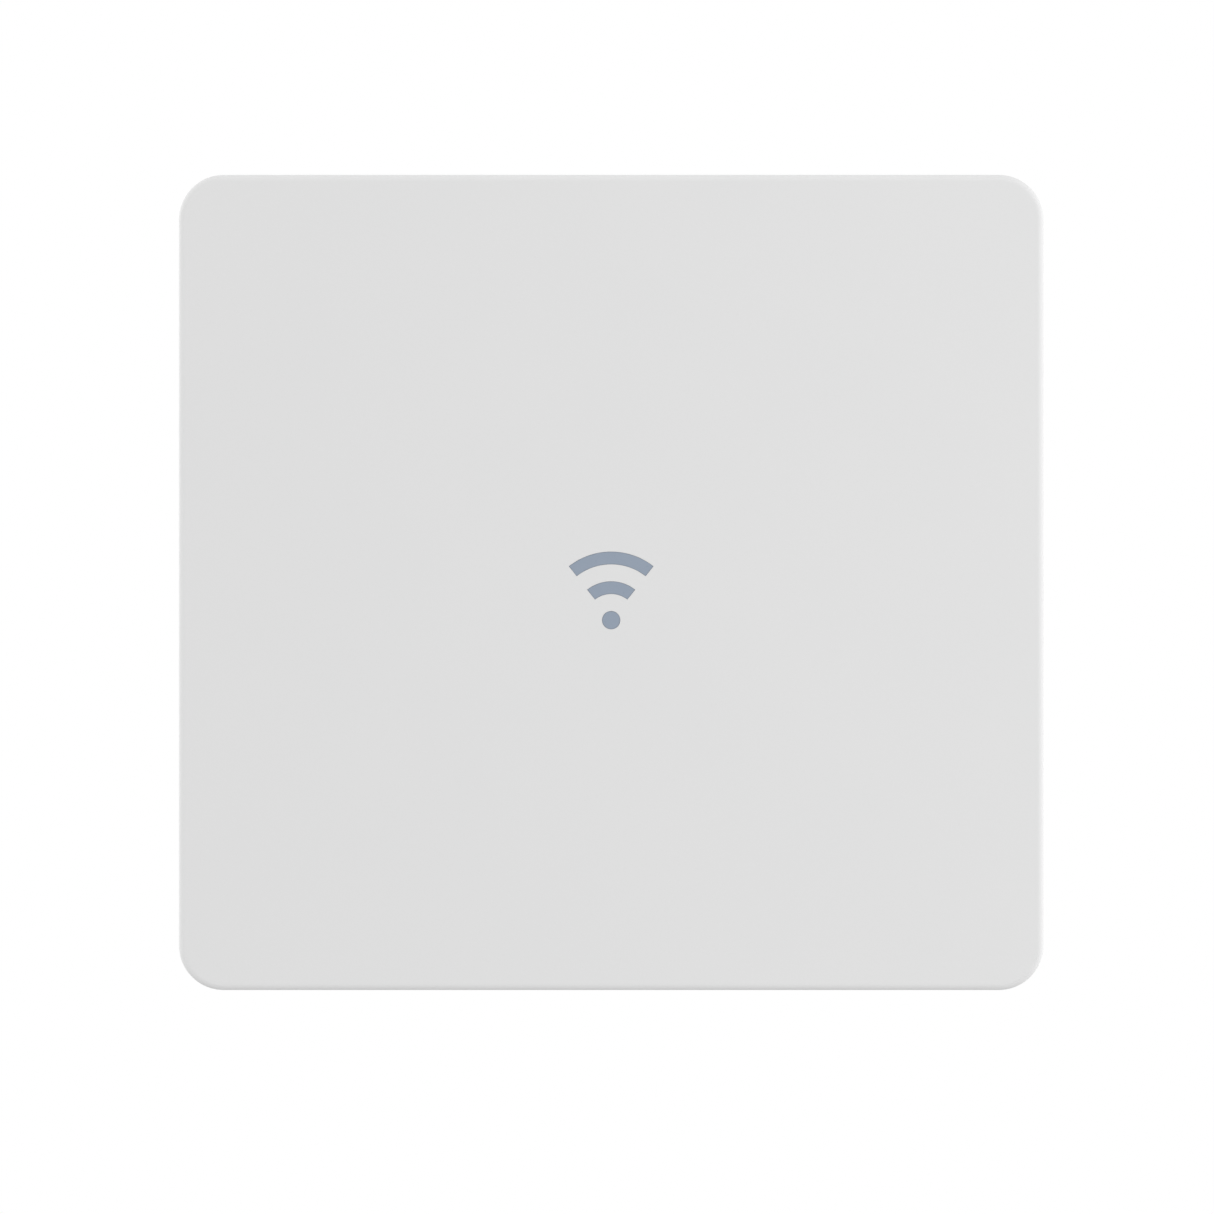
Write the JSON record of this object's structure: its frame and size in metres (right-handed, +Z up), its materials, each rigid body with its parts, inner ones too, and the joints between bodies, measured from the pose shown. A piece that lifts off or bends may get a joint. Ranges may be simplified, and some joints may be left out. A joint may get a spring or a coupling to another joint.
{
  "type": "ceiling access point",
  "caption": "Almost square white wireless access point hanging face down on a steel ceiling bracket, with a finned metal back, a recessed port bay and a release latch.",
  "frame": {"origin": "centre of the ceiling bracket's raised pad, on the ceiling plane", "axes": "+Z up into the ceiling, the white face points down along -Z, +Y towards the side with the cable notch, +X along the longer side"},
  "size_m": [0.28, 0.264, 0.05],
  "materials": {
    "cover_plastic": "fine-textured white polycarbonate moulding",
    "housing_paint": "die-cast aluminium under a white powder coat",
    "zinc_steel": "zinc-plated steel",
    "light_guide": "blue-grey tinted moulded light guide",
    "board_laminate": "green solder mask over glass laminate",
    "led_resin": "clear yellowish led resin",
    "tinplate": "tin-plated sheet steel",
    "contact_gold": "gold-plated bronze wire",
    "chip_resin": "black moulded resin",
    "capacitor_can": "bare drawn aluminium can",
    "thermal_pad": "soft grey-blue silicone pad",
    "antenna_copper": "bare stamped copper alloy",
    "coax_jacket": "grey fluoropolymer jacket",
    "button_plastic": "dark grey moulded plastic",
    "latch_plastic": "blue-grey moulded nylon"
  },
  "bodies": {
    "bracket": {"ceiling_bracket": "zinc_steel"},
    "access_point": {"antenna_plate": "tinplate", "board_standoff_1": "zinc_steel", "board_standoff_2": "zinc_steel", "board_standoff_3": "zinc_steel", "board_standoff_4": "zinc_steel", "coax_lead_1": "coax_jacket", "coax_lead_2": "coax_jacket", "coax_lead_3": "coax_jacket", "coax_lead_4": "coax_jacket", "dc_power_inlet": "chip_resin", "ethernet_jack_main": "tinplate", "ethernet_jack_second": "tinplate", "front_cover": "cover_plastic", "ground_screw": "zinc_steel", "housing_screw_1": "zinc_steel", "housing_screw_2": "zinc_steel", "housing_screw_3": "zinc_steel", "housing_screw_4": "zinc_steel", "housing_screw_5": "zinc_steel", "housing_screw_6": "zinc_steel", "jack_contacts_main": "contact_gold", "jack_contacts_second": "contact_gold", "latch_cover": "zinc_steel", "latch_spring": "zinc_steel", "led_board": "board_laminate", "main_board": "board_laminate", "memory_package_1": "chip_resin", "memory_package_2": "chip_resin", "mounting_stud_1": "zinc_steel", "mounting_stud_2": "zinc_steel", "mounting_stud_3": "zinc_steel", "mounting_stud_4": "zinc_steel", "patch_antenna_1": "antenna_copper", "patch_antenna_2": "antenna_copper", "patch_antenna_3": "antenna_copper", "patch_antenna_4": "antenna_copper", "plate_screw_1": "zinc_steel", "plate_screw_2": "zinc_steel", "plate_screw_3": "zinc_steel", "plate_screw_4": "zinc_steel", "power_capacitor": "capacitor_can", "power_inductor": "chip_resin", "power_transformer": "chip_resin", "processor_package": "chip_resin", "rear_housing": "housing_paint", "reset_switch": "chip_resin", "rf_shield_high_band": "tinplate", "rf_shield_low_band": "tinplate", "side_antenna_1": "antenna_copper", "side_antenna_2": "antenna_copper", "side_antenna_3": "antenna_copper", "side_antenna_4": "antenna_copper", "status_led": "led_resin", "status_light_guide": "light_guide", "thermal_pad_1": "thermal_pad", "thermal_pad_2": "thermal_pad", "thermal_pad_3": "thermal_pad"},
    "latch": {"release_latch": "latch_plastic"},
    "button": {"reset_button": "button_plastic"}
  },
  "joints": [
    {"name": "unit_slide", "type": "slide", "parent": "bracket", "child": "access_point", "axis": [0, -1, 0], "range_m": [0, 0.014]},
    {"name": "latch_pull", "type": "slide", "parent": "access_point", "child": "latch", "axis": [1, 0, 0], "range_m": [0, 0.0035], "stiffness_N_per_m": 400, "deforming": ["latch_spring"]},
    {"name": "reset_press", "type": "slide", "parent": "access_point", "child": "button", "axis": [0, -1, 0], "range_m": [0, 0.0008], "stiffness_N_per_m": 1500}
  ]
}
